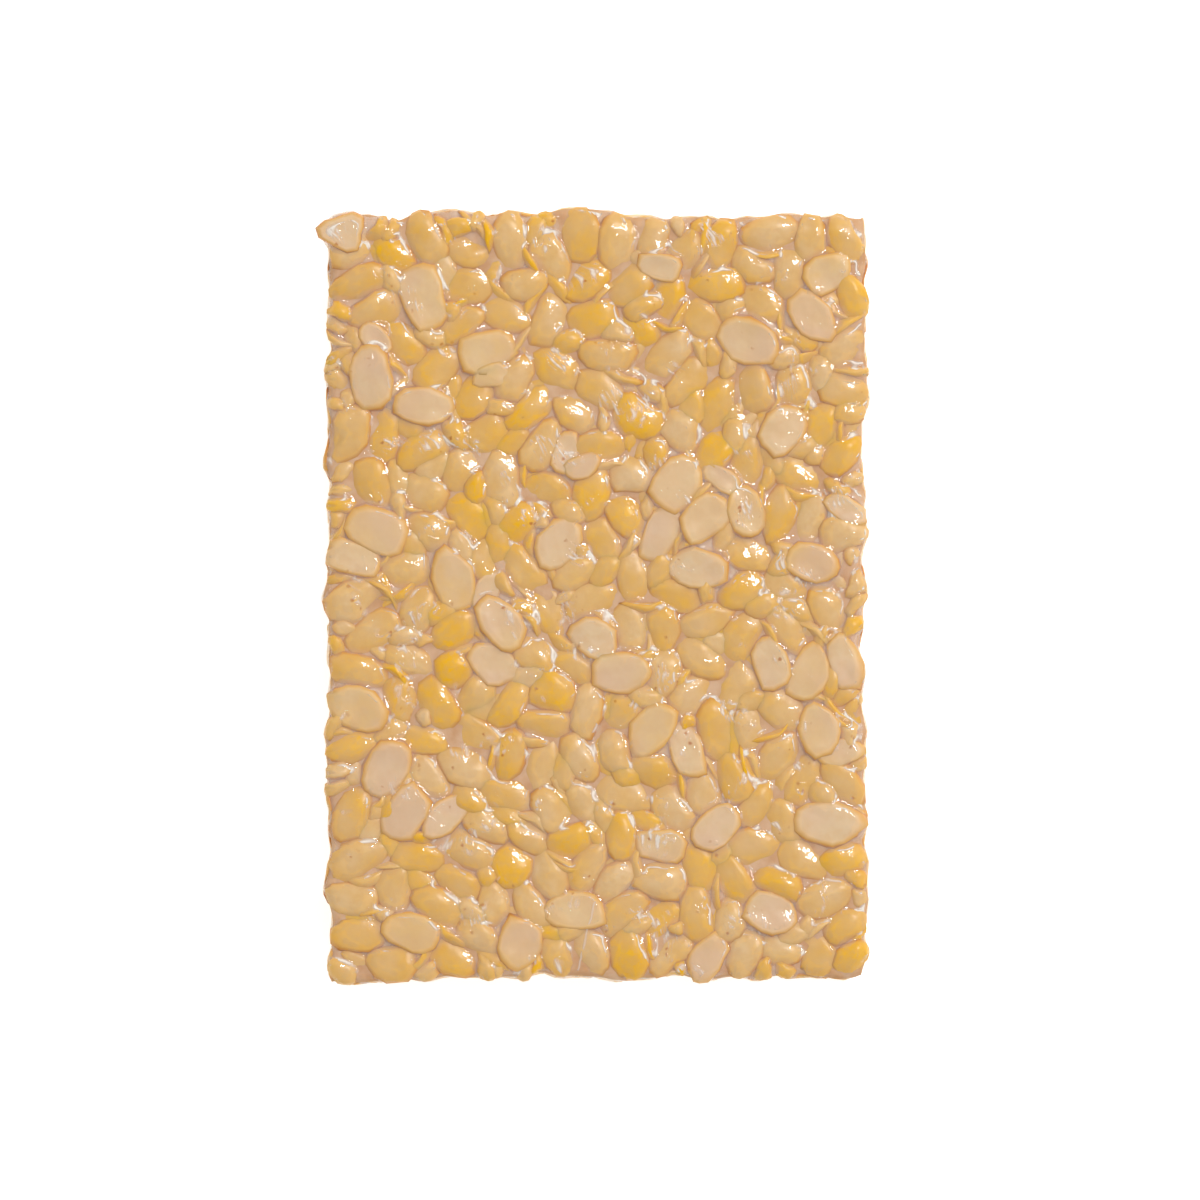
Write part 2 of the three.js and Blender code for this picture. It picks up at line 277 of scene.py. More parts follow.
# How many small beans, slivers and crumbs, and the seeds for slimming and for each of the three
EXTRAS = {"top": [(72, 100, 40), (39, 37, 31, 33)], "wall": [(7, 9, 0), (41, 45, 49, 53)],
          "underside": [(60, 60, 30), (40, 38, 32, 34)]}
GAP = {"tries": 120, "turns": 12, "edge": 0.3, "slimmer": 0.4, "rise": 0.7, "higher": 0.35}
GAP_LINE = np.array([-0.5, -0.3, 0.3, 0.5])      # where a piece feels for room along its length
SLIP = {"way": 1.5, "spread": 0.6, "turn": 0.6, "rise": 0.75}
SLIP_SHARE = {"split": 0.8, "whole": 0.22}


def slim_down(beans, seed):
    draw = make_draw(seed)
    for bean in beans:
        if not bean["fixed"]:
            bean["width"] *= SLIM
            if bean["kind"] == "split" and draw() < FACE_DOWN:
                bean["kind"] = "whole"


def add_along_gaps(beans, half, count, seed, size, kinds):
    """Pieces in the roomiest places, each turned along its gap. `kinds` has the share of each."""
    draw = make_draw(seed)
    for _ in range(count):
        kind = next(name for name, share in kinds.items() if draw() < share)
        length = vary(draw, size["length"], size["spread"])
        width = vary(draw, size["width"], size["spread"] * GAP["slimmer"])
        x, y = roomiest(draw, beans, half, length * GAP["edge"], GAP["tries"])
        reach = GAP_LINE * length

        def room(turn):
            line = np.stack([x + math.cos(turn) * reach, y + math.sin(turn) * reach], axis=1)
            return clearance(line, beans).min()
        turns = [step * math.pi / GAP["turns"] for step in range(GAP["turns"])]
        beans.append({"kind": kind, "x": x, "y": y, "length": length, "width": width,
                      "turn": max(turns, key=room), "fixed": False,
                      "rise": GAP["rise"] + draw() * GAP["higher"]})


def fill_gaps(beans, half, where, side=0):
    (small, slivers, crumbs), seeds = EXTRAS[where]
    slim_seed, small_seed, sliver_seed, crumb_seed = [seed + side for seed in seeds]
    small_kinds = {"whole": 1} if where == "wall" else SMALL_KINDS
    slim_down(beans, slim_seed)
    add_along_gaps(beans, half, small, small_seed, SMALL_BEAN, small_kinds)
    add_along_gaps(beans, half, slivers, sliver_seed, SLIVER, {"sliver": 1})
    draw = make_draw(crumb_seed)
    scatter(draw, beans, draw_sizes(draw, crumbs, CRUMB, math.pi / 2), half,
            CRUMB["tries"], CRUMB["edge"])


def add_other_halves(beans):
    draw = make_draw(SEED["halves"])
    for bean in [bean for bean in beans if bean["kind"] in SLIP_SHARE]:
        slip = vary(draw, SLIP["way"], SLIP["spread"])
        side = 1 if draw() < 0.5 else -1
        heading = bean["turn"] + math.pi / 2 * side + vary(draw, 0, SLIP["turn"])
        if draw() < SLIP_SHARE[bean["kind"]]:
            beans.append({**bean, "kind": "whole", "under": True,
                          "rise": bean["rise"] * SLIP["rise"],
                          "x": bean["x"] + math.cos(heading) * slip,
                          "y": bean["y"] + math.sin(heading) * slip})


# %% [markdown]
# ## The six faces
#
# Each face has its own flat layout. On the walls, which are narrow strips, the beans lie nearly
# level.

# %% Lay every face
UP, DOWN, RIGHT = np.array([[0.0, 0, 1], [0, 0, -1], [1, 0, 0]])
WALL_TURN = math.pi / 6
PRESSED = 0.9     # how far the table pushes the underside's beans up


def make_face(outward, along, relief, beans, sink=0.0):
    """A face of the box, with the beans that lie on it. Its x runs along and its y across."""
    return {"outward": outward, "along": along, "across": np.cross(outward, along),
            "distance": abs(outward @ HALF) - sink, "relief": relief, "beans": beans}


top_beans = placed(SPLIT_FACES, "split") + placed(DEEP_BEANS, "whole")
lay_face(make_draw(SEED["top"]), top_beans, LAID[:2], COUNT["top"], COUNT["top chips"])
fill_gaps(top_beans, LAID[:2], "top")
add_other_halves(top_beans)
faces = [make_face(UP, RIGHT, RELIEF["top"], top_beans)]

wall_draw = make_draw(SEED["walls"])
for side in range(4):
    angle = side * math.pi / 2
    outward = np.array([round(math.cos(angle)), round(math.sin(angle)), 0.0])
    along = np.cross(UP, outward)
    wall_half = [abs(along @ LAID), LAID[2]]
    wall_beans = lay_face(wall_draw, [], wall_half, COUNT["walls"][side % 2], 0, WALL_TURN)
    fill_gaps(wall_beans, wall_half, "wall", side)
    faces.append(make_face(outward, along, RELIEF["wall"], wall_beans))

bottom_beans = lay_face(make_draw(SEED["underside"]), [], LAID[:2],
                        COUNT["underside"], COUNT["underside chips"])
fill_gaps(bottom_beans, LAID[:2], "underside")
faces.append(make_face(DOWN, RIGHT, RELIEF["underside"], bottom_beans, PRESSED))
print("beans on the six faces:", [len(face["beans"]) for face in faces],
      f"in {time.time() - started:.1f} s")

# %% [markdown]
# ## Colours of the beans
#
# Soybeans in one cake aren't all one colour: a few are deep yellow, most are honey-coloured, and
# some are pale. Each bean carries its `tone` as an attribute, from 0, pale, to 1, deep, so one
# material can dress them all. They don't lie quite flat either, so each gets a little tilt.

# %% Give each bean its tone, tilt and shape
look = np.random.default_rng(SEED["looks"])
TONES = {"split": (0.0, 1.0), "sliver": (0.3, 0.95), "under": (0.6, 1.0), "placed": (0.88, 1.0),
         "deep": (0.7, 0.9), "common": (0.18, 0.66)}
DEEP_SHARE = 0.14
SHAPES = {"whole": 9, "split": 7, "chip": 5, "sliver": 6}
TILT = {"whole": (9, 4), "split": (5, 4), "chip": (14, 10), "sliver": (16, 8)}
SUNK = {"whole": (-0.25, 0.2), "split": (-0.2, 0.2), "chip": (-0.2, 0.2), "sliver": (-0.1, 0.3)}
SUNK_HALF = 0.4


def tone_of(bean):
    if bean["kind"] in TONES:
        name = bean["kind"]
    elif "under" in bean:
        name = "under"
    elif bean["fixed"]:
        name = "placed"
    else:
        name = "deep" if look.uniform() < DEEP_SHARE else "common"
    return look.uniform(*TONES[name])


for face in faces:
    for bean in face["beans"]:
        bean["tone"] = tone_of(bean)
        bean["shape"] = int(look.integers(SHAPES[bean["kind"]]))
        bean["flip"] = math.pi * int(look.integers(2))
        bean["tilt"] = [math.radians(look.uniform(-most, most)) for most in TILT[bean["kind"]]]
        bean["level"] = look.uniform(*SUNK[bean["kind"]]) * face["relief"] / RELIEF["top"]
        if "under" in bean:
            bean["level"] -= SUNK_HALF
tones = [bean["tone"] for face in faces for bean in face["beans"]]
print(len(tones), "pieces have a tone, on average", round(sum(tones) / len(tones), 2))

# %% [markdown]
# ## Base shapes
#
# A bean is built once and used hundreds of times, so it has few faces: rings of points round an
# oval outline, closed by a point at the top and one at the bottom. The outlines differ, since
# some beans are kidney-shaped, some egg-shaped, and pressing has given most of them corners. A
# split bean has a nearly flat face inside a thin rounded edge. The attribute `rim` is 0 on the
# crown or the flat face and 1 where the bean is widest, for the materials.

# %% Build the base shapes
forms = np.random.default_rng(SEED["shapes"])
SEGMENTS = 14
DEPTH = -2.4     # a bean's lowest point, in its own rise
OUTLINES = {
    "whole": {"power": (2.0, 2.35), "bend": 0.22, "egg": 0.16, "corner": 0.035},
    "split": {"power": (2.0, 2.45), "bend": 0.10, "egg": 0.14, "corner": 0.045},
    "chip": {"power": (1.9, 2.6), "bend": 0.25, "egg": 0.25, "corner": 0.07},
    "sliver": {"power": (1.6, 2.0), "bend": 1.5, "egg": 0.2, "corner": 0.03},
}
BEND_MIDDLE = 0.35
LEAN = {"whole": 0.2, "split": 0.1, "chip": 0.3, "sliver": 0.5}
CROWN = {"whole": 1.0, "split": 0.93, "chip": 1.0, "sliver": 1.0}


def make_outline(power, bend, egg, corner):
    """An oval that is bent, egg-shaped and cornered by drawn amounts."""
    power = forms.uniform(*power)
    bend, egg = forms.uniform(-bend, bend), forms.uniform(-egg, egg)
    waves = [(count, forms.uniform(0.4, 1.0) * corner, forms.uniform(0, math.tau))
             for count in (3, 4, 5)]

    def outline(x, y):
        scale = (abs(x) ** power + abs(y) ** power) ** (-1 / power)
        angle = math.atan2(y, x)
        scale *= 1 + sum(size * math.cos(count * angle + turn) for count, size, turn in waves)
        along, across = x * scale, y * scale
        return along, across * (1 + egg * along) + bend * (along * along - BEND_MIDDLE)
    return outline


def set_attribute(mesh, name, kind, values):
    """Gives each vertex its value, for a node tree to read."""
    field = "vector" if kind == "FLOAT_VECTOR" else "value"
    mesh.attributes.new(name, kind, "POINT").data.foreach_set(field, np.ravel(values))


def ring_mesh(name, rings, outline, top, lean):
    """Rings are share of the outline, height and rim. The crown leans to one side."""
    points = [[0, lean, top]]
    rims = [0.0]
    for share, height, rim in rings:
        for angle in np.arange(SEGMENTS) * math.tau / SEGMENTS:
            along, across = outline(math.cos(angle), math.sin(angle))
            points.append([along * share, across * share + lean * (1 - share), height])
            rims.append(rim)
    points.append([0, 0, DEPTH])
    rims.append(1.0)
    around = [(step, (step + 1) % SEGMENTS) for step in range(SEGMENTS)]
    starts = [1 + ring * SEGMENTS for ring in range(len(rings))]
    polygons = [(0, 1 + one, 1 + two) for one, two in around]
    for upper, lower in zip(starts, starts[1:]):
        polygons += [(upper + one, lower + one, lower + two, upper + two) for one, two in around]
    polygons += [(starts[-1] + one, len(points) - 1, starts[-1] + two) for one, two in around]
    mesh = bpy.data.meshes.new(name)
    mesh.from_pydata(points, [], polygons)
    mesh.shade_smooth()
    set_attribute(mesh, "rim", "FLOAT", rims)
    return mesh


def dome_rings(shares, power):
    """Rings of a dome. A higher power makes its top flatter and its sides steeper."""
    heights = [(1 - share ** power) ** (1 / power) for share in shares]
    return [(share, height, share ** 4) for share, height in zip(shares, heights)]


rings_of = {
    "whole": dome_rings([0.5, 0.8, 0.94, 1.0], 2.2),
    "split": [(0.5, 0.95, 0.0), (0.76, 1.0, 0.06), (0.91, 0.93, 0.45), (1.0, 0.35, 1.0)],
    "chip": dome_rings([0.55, 0.88, 1.0], 2.6),
    "sliver": dome_rings([0.4, 0.85, 1.0], 1.5),
}
collections = {}
for kind, limits in OUTLINES.items():
    collections[kind] = bpy.data.collections.new(kind + " shapes")
    for index in range(SHAPES[kind]):
        name = f"{kind} {index}"
        mesh = ring_mesh(name, rings_of[kind], make_outline(**limits), CROWN[kind],
                         forms.uniform(-LEAN[kind], LEAN[kind]))
        collections[kind].objects.link(bpy.data.objects.new(name, mesh))

# %% [markdown]
# ## Finishes
#
# Every finish and every rule below is a tree of nodes. A `Wire` stands for a node's output, and
# a sum or a product of wires adds the node that works it out, so that a tree reads like a
# formula.

# %% Helpers for node trees
class Wire:
    def __init__(self, tree, socket):
        self.tree = tree
        self.socket = socket

    def __add__(self, other):
        return math_node("ADD", self, other)

    def __sub__(self, other):
        return math_node("SUBTRACT", self, other)

    def __mul__(self, other):
        return math_node("MULTIPLY", self, other)

    def twin(self, output):
        """Another output of the same node."""
        return Wire(self.tree, self.socket.node.outputs[output])


def add(tree, kind, inputs=None, output=0, **settings):
    """A wire from a new node with these settings. Its inputs are values or other wires."""
    node = tree.nodes.new(kind)
    for name, value in settings.items():
        setattr(node, name, value)
    for name, value in (inputs or {}).items():
        if isinstance(value, Wire):
            tree.links.new(value.socket, node.inputs[name])
        else:
            node.inputs[name].default_value = value
    return Wire(tree, node.outputs[output]) if node.outputs else None


def math_node(operation, one, other=0.0):
    return add(one.tree, "ShaderNodeMath", {0: one, 1: other}, operation=operation)


def largest(*wires):
    result = wires[0]
    for wire in wires[1:]:
        result = math_node("MAXIMUM", result, wire)
    return result


def vector_math(operation, one, other=None, output=0):
    inputs = {0: one} if other is None else {0: one, 1: other}
    return add(one.tree, "ShaderNodeVectorMath", inputs, output, operation=operation)


def scaled(vector, factor):
    return add(vector.tree, "ShaderNodeVectorMath", {0: vector, "Scale": factor},
               operation="SCALE")


def part(vector, name):
    return add(vector.tree, "ShaderNodeSeparateXYZ", {0: vector}, name)


def noise(place, scale, detail, output="Fac"):
    return add(place.tree, "ShaderNodeTexNoise",
               {"Vector": place, "Scale": scale, "Detail": detail}, output)


def clouds(place, size_mm, detail=2.0):
    """Noise whose blots are about this many millimetres across."""
    return noise(place, 1000 / size_mm, detail)


def shoved(place, scale, way, detail=2.0):
    """The place, moved this way and that by noise, which bends a pattern there."""
    return vector_math("ADD", place, scaled(noise(place, scale, detail, "Color"), way))


def stretched(value, low, high):
    """Spreads the values between low and high over 0 to 1."""
    return add(value.tree, "ShaderNodeMapRange",
               {"Value": value, "From Min": low, "From Max": high})


def between(share, low, high):
    """From low to high as the share goes from 0 to 1."""
    return add(share.tree, "ShaderNodeMapRange", {"Value": share, "To Min": low, "To Max": high})


# %% [markdown]
# A finish starts from the place on the piece, in Object coordinates, which stay with the piece
# however the scene is turned, and from the attributes that the mesh carries.

# %% Helpers for finishes
def colour(red, green, blue):
    """A colour given as it looks on a screen, 0 to 255, for a shader."""
    values = [value / 255 for value in (red, green, blue)]
    values = [v / 12.92 if v <= 0.04045 else ((v + 0.055) / 1.055) ** 2.4 for v in values]
    return (*values, 1.0)


def make_finish(name, build):
    """A material whose surface is the shader that `build` makes."""
    material = bpy.data.materials.new(name)
    material.use_nodes = True
    tree = material.node_tree
    tree.nodes.clear()
    place = add(tree, "ShaderNodeTexCoord", output="Object")
    add(tree, "ShaderNodeOutputMaterial", {"Surface": build(place)})
    print(name, "finish has", len(tree.nodes), "nodes")
    return material


def mesh_value(place, name):
    return add(place.tree, "ShaderNodeAttribute", output="Fac", attribute_name=name)


def mix_colours(share, one, other):
    """Sockets 0, 6 and 7 of a colour Mix node are its share and its two colours."""
    return add(share.tree, "ShaderNodeMix", {0: share, 6: one, 7: other}, 2, data_type="RGBA")


def ramp(share, stops):
    wire = add(share.tree, "ShaderNodeValToRGB", {"Fac": share})
    band = wire.socket.node.color_ramp
    while len(band.elements) < len(stops):
        band.elements.new(1.0)
    for element, (position, stop) in zip(band.elements, stops):
        element.position = position
        element.color = stop
    return wire


# %% [markdown]
# ### Soybeans
#
# Cooked beans let light a little way in, which is why they glow rather than shade hard. The
# Principled shader does this with subsurface scattering. The skin is smooth and slightly
# cloudy, with brown specks here and there. Towards a bean's edge the colour turns golden, partly
# the skin's own colour and partly painted shade of the sloping sides, and down in the seam
# where beans meet it turns reddish brown, which is painted shade. Whole beans, chips and slivers
# share this finish.

# %% Soybean finish
GLOW = {"Subsurface Weight": 0.25, "Subsurface Radius": (1.0, 0.8, 0.6),
        "Subsurface Scale": 0.0005}
GRAIN_STRENGTH = 0.4
# Golden towards a bean's edge: partly the skin's own colour, partly painted shade of the sloping
# sides.
SKIN_AND_EDGE_SHADE = colour(230, 174, 90)
# Reddish brown down where beans meet: painted shade in the seams.
SEAM_SHADE = colour(212, 138, 66)
STAIN = {"colour": colour(190, 112, 50), "share": 0.8}
SPECK = {"cell": 1.9, "radius": 0.42, "share": 0.6}


def soft_shader(place, base, roughness, specular, grain_mm, depth_mm):
    """Lets light a little way in, under a fine grain."""
    grain = add(place.tree, "ShaderNodeBump",
                {"Height": clouds(place, grain_mm, 1.0), "Strength": GRAIN_STRENGTH,
                 "Distance": depth_mm * MM})
    return add(place.tree, "ShaderNodeBsdfPrincipled",
               {"Base Color": base, "Roughness": roughness, "Specular IOR Level": specular,
                "Normal": grain, **GLOW})


def with_cloud(place, base, size_mm, share, tint):
    """Soft blots of another tint over part of the surface."""
    cloud = stretched(clouds(place, size_mm), 0.42, 0.62)
    return mix_colours(cloud * share, base, tint)


def with_stains(place, base):
    """Ragged brown dots, one at most in each cell of a Voronoi pattern, which come in groups."""
    cells = add(place.tree, "ShaderNodeTexVoronoi",
                {"Vector": shoved(place, 1400.0, 0.0009), "Scale": 1000 / SPECK["cell"]},
                "Distance")
    radius = SPECK["radius"] / SPECK["cell"]
    dot = stretched(cells, radius, radius * 0.5)
    pick = add(place.tree, "ShaderNodeSeparateColor", {"Color": cells.twin("Color")})
    groups = stretched(clouds(place, 8.0, 1.0), 0.56, 0.62)
    share = dot * math_node("LESS_THAN", pick, SPECK["share"]) * groups * STAIN["share"]
    return mix_colours(share, base, STAIN["colour"])


# Painted shade: golden towards a bean's edge, partly its skin colour, then reddish brown down in
# the seam.
def with_skin_and_seam_shade(place, base, skin_and_shade_band, seam_shade_band, share):
    rim = mesh_value(place, "rim")
    base = mix_colours(stretched(rim, *skin_and_shade_band) * share, base, SKIN_AND_EDGE_SHADE)
    return mix_colours(stretched(rim, *seam_shade_band), base, SEAM_SHADE)


def soybean_shader(place):
    base = ramp(mesh_value(place, "tone") + (clouds(place, 6.0) - 0.5),
                [(0.0, colour(238, 200, 148)), (0.3, colour(236, 190, 120)),
                 (0.6, colour(235, 182, 88)), (0.9, colour(247, 186, 22))])
    base = with_cloud(place, base, 1.3, 0.25, colour(224, 172, 104))
    base = with_cloud(place, base, 10.0, 0.25, colour(230, 196, 160))
    base = with_skin_and_seam_shade(place, with_stains(place, base), (0.0, 0.7), (0.5, 1.0), 0.65)
    return soft_shader(place, base, 0.28, 0.3, 1.1, 0.1)


soybean = make_finish("soybean", soybean_shader)

# %% [markdown]
# ### Split faces and mould
#
# The inside of a bean is paler and drier than its skin, a warm cream, and the skin shows as a
# thin golden line round it. Outside that line, where the face drops away, a reddish brown is
# painted shade. The mesh says where the face ends, by its `rim` attribute. The mould is a soft
# felt, off-white with a warm tinge from the beans it holds.

# %% Split-face and mould finishes
def split_face_shader(place):
    base = ramp(mesh_value(place, "tone"),
                [(0.0, colour(236, 201, 160)), (0.6, colour(236, 197, 146)),
                 (1.0, colour(238, 193, 126))])
    base = with_cloud(place, base, 5.0, 0.5, colour(239, 209, 165))
    base = with_cloud(place, base, 2.5, 0.4, colour(230, 185, 132))
    base = with_cloud(place, base, 12.0, 0.5, colour(231, 191, 162))
    # The golden line round the face is its skin; the reddish brown outside it is painted shade.
    base = with_skin_and_seam_shade(place, with_stains(place, base), (0.0, 0.45), (0.42, 0.9), 0.85)
    return soft_shader(place, base, 0.36, 0.3, 2.4, 0.35)


def mould_shader(place):
    base = mix_colours(stretched(clouds(place, 3.0), 0.3, 0.7),
                       colour(214, 162, 116), colour(228, 188, 152))
    return soft_shader(place, base, 0.85, 0.15, 0.5, 0.1)


split_face = make_finish("split face", split_face_shader)
mould = make_finish("mould", mould_shader)

# %% [markdown]
# ### Folds of the film
#
# The film's folds and crumples are thinner than its mesh, so they are a pattern that drives a
# bump and, on some of them, a little painted white highlight. There are sharp creases in all
# directions, lines beside the beans where the film leaves them on the side facing the softboxes,
# steep streaks on a few faces, gathers at one corner, and one fold at the near end. The lines
# beside the beans, the streaks and the end fold carry the painted highlight.

# %% Patterns for the folds
# Cells, widths and spacings are in millimetres, places and wanders in metres. A pair is the value
# where a line or a patch begins and the one where it is full.
CREASES = {"cell": 4.5, "line": (0.04, 0.0), "patches": (0.54, 0.6)}
# The rim lines only come where the film falls towards the softboxes; their white is a painted
# highlight.
RIMS = {"begin": (0.025, 0.05), "end": (0.1, 0.06), "fall_to_softboxes": (0.07, 0.2), "patches": (0.37, 0.47)}
STREAKS = {"turn": 1.9, "longer": 3.2, "width": 1.0, "line": (0.46, 0.7),
           "patches": (0.595, 0.645)}
CORNER = {"spacing": 1.3, "wander": 0.003, "x": (0.0445, 0.0475), "y": (0.054, 0.060)}
END_FOLD = {"slant": 0.25, "wander": 0.002, "at": 0.015, "line": (0.0003, 0.0001),
            "y": (-0.0545, -0.0565)}


def film_creases(place, patches):
    """Sharp folds in all directions, over part of the film."""
    cracks = add(place.tree, "ShaderNodeTexVoronoi",
                 {"Vector": shoved(place, 320.0, 0.0022, 1.0), "Scale": 1000 / CREASES["cell"]},
                 "Distance", feature="DISTANCE_TO_EDGE", voronoi_dimensions="2D")
    return stretched(cracks, *CREASES["line"]) * stretched(patches, *CREASES["patches"])


def film_rims(place, wander):
    """Folds along the lines where the film leaves a bean, only on the side facing the softboxes,
    so their white is a painted highlight. `lift` is the way down to the bean, and the other
    attribute how steeply the film falls towards the softboxes."""
    lift = mesh_value(place, "lift")
    fold = math_node("MINIMUM", stretched(lift, *RIMS["begin"]), stretched(lift, *RIMS["end"]))
    drawn = stretched(mesh_value(place, "fall_to_softboxes"), *RIMS["fall_to_softboxes"])
    return fold * drawn * stretched(wander, *RIMS["patches"])


def film_streaks(place, patches):
    """Fine crumples on a few faces, steep and side by side, but bent this way and that. They carry
    a painted white highlight.
    """
    drawn_out = add(place.tree, "ShaderNodeMapping",
                    {"Vector": shoved(place, 110.0, 0.009, 0.0),
                     "Rotation": (0.0, 0.0, STREAKS["turn"]),
                     "Scale": (STREAKS["longer"], 1.0, 1.0)},
                    vector_type="TEXTURE")
    streaks = stretched(clouds(drawn_out, STREAKS["width"], 1.0), *STREAKS["line"])
    return streaks * stretched(patches, *STREAKS["patches"])


def corner_folds(x, y, wander):
    """Long folds at one corner, where the film was gathered."""
    across = x * 0.93 + y * 0.36 + wander * CORNER["wander"]
    fold = math_node("SINE", across * (math.tau / (CORNER["spacing"] * MM)))
    return fold * stretched(x, *CORNER["x"]) * stretched(y, *CORNER["y"])


def end_fold(x, y, wander):
    """One fold that runs in from the middle of one end, a little aslant, with a painted white
    highlight along it.
    """
    across = x - y * END_FOLD["slant"] + wander * END_FOLD["wander"] - END_FOLD["at"]
    fold = stretched(math_node("ABSOLUTE", across), *END_FOLD["line"])
    return fold * stretched(y, *END_FOLD["y"])


# %% [markdown]
# ### The clear film
#
# A Transparent shader lets the beans show, and a Glossy one adds the reflections, faint where
# the film is seen straight on and stronger at a slant. The Fresnel node would take the film for
# solid glass and trap the light under it, so we mix by Layer Weight, which is the same from both
# sides. White Diffuse is mixed in as painted highlights along the rim folds that face the
# softboxes, along the streaks and along the end fold, and it makes the film cloudy where it spans
# a gap.

# %% Film finish
GLOSS = {"straight on": 0.065, "at a slant": 0.6, "steepness": 4.0}
HIGHLIGHT_AND_MILK_WHITENESS = {"rims": 0.85, "streaks": 0.7, "end fold": 0.55, "gaps": 0.4}
HEIGHTS = {"rims": 1.6, "streaks": 2.2, "corner": 0.6, "crumples": 2.0}
CRUMPLE_SIZE = 2.0


def film_shader(place):
    x, y = part(place, "X"), part(place, "Y")
    patches, wander = clouds(place, 8.0), clouds(place, 5.0)
    rims, streaks = film_rims(place, wander), film_streaks(place, patches)
    last_fold = end_fold(x, y, wander)
    height = (largest(film_creases(place, patches), last_fold)
              + rims * HEIGHTS["rims"] + streaks * HEIGHTS["streaks"]
              + corner_folds(x, y, wander) * HEIGHTS["corner"]
              + clouds(place, CRUMPLE_SIZE) * HEIGHTS["crumples"])
    bump = add(place.tree, "ShaderNodeBump",
               {"Height": height, "Strength": 0.7, "Distance": 0.00016})
    clear = add(place.tree, "ShaderNodeBsdfTransparent")
    gloss = add(place.tree, "ShaderNodeBsdfGlossy", {"Roughness": 0.05, "Normal": bump})
    facing = add(place.tree, "ShaderNodeLayerWeight", {"Blend": 0.5}, "Facing")
    share = between(math_node("POWER", facing, GLOSS["steepness"]),
                    GLOSS["straight on"], GLOSS["at a slant"])
    both = add(place.tree, "ShaderNodeMixShader", {0: share, 1: clear, 2: gloss})

    # Painted highlights: white Diffuse along the rim folds facing the softboxes, the streaks and
    # the end fold. Over the gaps the same Diffuse makes the film cloudy.
    highlight_and_milk_colour = mix_colours(largest(rims, streaks), colour(246, 226, 206), colour(255, 247, 236))
    highlight_and_milk_diffuse = add(place.tree, "ShaderNodeBsdfDiffuse", {"Color": highlight_and_milk_colour})
    gaps = stretched(mesh_value(place, "lift"), 0.02, 0.4)
    white = largest(streaks * HIGHLIGHT_AND_MILK_WHITENESS["streaks"], rims * HIGHLIGHT_AND_MILK_WHITENESS["rims"],
                    last_fold * HIGHLIGHT_AND_MILK_WHITENESS["end fold"], gaps * HIGHLIGHT_AND_MILK_WHITENESS["gaps"])
    return add(place.tree, "ShaderNodeMixShader", {0: white, 1: both, 2: highlight_and_milk_diffuse})


film = make_finish("film", film_shader)

# %% [markdown]
# ## Wrapping a flat layout round the box
#
# The layouts are flat, and the box has round edges. A small node group maps a place on the sharp
# box to the round one: it finds the nearest point of an inner box, goes outwards from there by
# the edge radius, and adds the height. Beans, mould and film all use the same rule, so they stay
# together round the edges. What would come out below the table is pressed flat on it, and the
# sides are pressed nearly flat too.

# %% Node group that wraps a place over the round edges
TABLE_GAP = 0.12                       # the film's room under the beans
REACH = np.array([0.75, 1.2, 2.9])     # how far a bean may stand out of the box, by axis
FAR_BELOW = -1.0


def make_group(name, build, output, **inputs):
    """A node group whose one output is what `build` makes of its inputs."""
    group = bpy.data.node_groups.new(name, "GeometryNodeTree")
    for socket, kind in inputs.items():
        group.interface.new_socket(socket, in_out="INPUT", socket_type="NodeSocket" + kind)
    group.interface.new_socket("result", in_out="OUTPUT", socket_type="NodeSocket" + output)
    given = group.nodes.new("NodeGroupInput").outputs
    result = build(group, **{socket: Wire(group, given[socket]) for socket in inputs})
    add(group, "NodeGroupOutput", {"result": result})
    print(name, "has", len(group.nodes), "nodes")
    return group


def kept_within(place, half):
    """The place, brought into a box round the origin."""
    return vector_math("MINIMUM", vector_math("MAXIMUM", place, tuple(-half)), tuple(half))


def wrap_rule(group, on_box, height):
    centre = kept_within(on_box, (HALF - EDGE_RADIUS) * MM)
    outwards = vector_math("NORMALIZE", vector_math("SUBTRACT", on_box, centre))
    place = vector_math("ADD", centre, scaled(outwards, height + EDGE_RADIUS * MM))
    place = kept_within(place, (HALF + REACH) * MM)
    table = (FAR_BELOW, FAR_BELOW, (TABLE_GAP - HALF[2]) * MM)
    return vector_math("ADD", vector_math("MAXIMUM", place, table), tuple(TO_FRAME * MM))


wrap = make_group("wrap over round edges", wrap_rule, "Vector", on_box="Vector", height="Float")


def wrapped(on_box, height):
    return add(on_box.tree, "GeometryNodeGroup", {"on_box": on_box, "height": height},
               node_tree=wrap)


# %% [markdown]
# ## The tree that lays the beans
#
# One point stands for each bean and carries its facing, its half sizes, its tone and the number
# of its base shape. `Instance on Points` puts the shapes there, `Realize Instances` makes them
# real mesh, and noise then makes every bean a little different before it is wrapped over the
# edges. The hidden lower half of a bean goes straight in from there. A loop that copies mesh
# data in Python could do the same, but it is slower and hides the rule.

# %% Geometry Nodes tree
def named(group, name, kind):
    return add(group, "GeometryNodeInputNamedAttribute", {"Name": name}, "Attribute",
               data_type=kind)


def place_in(group):
    return add(group, "GeometryNodeInputPosition")


def dressed(geometry, finish):
    return add(geometry.tree, "GeometryNodeSetMaterial",
               {"Geometry": geometry, "Material": finish})


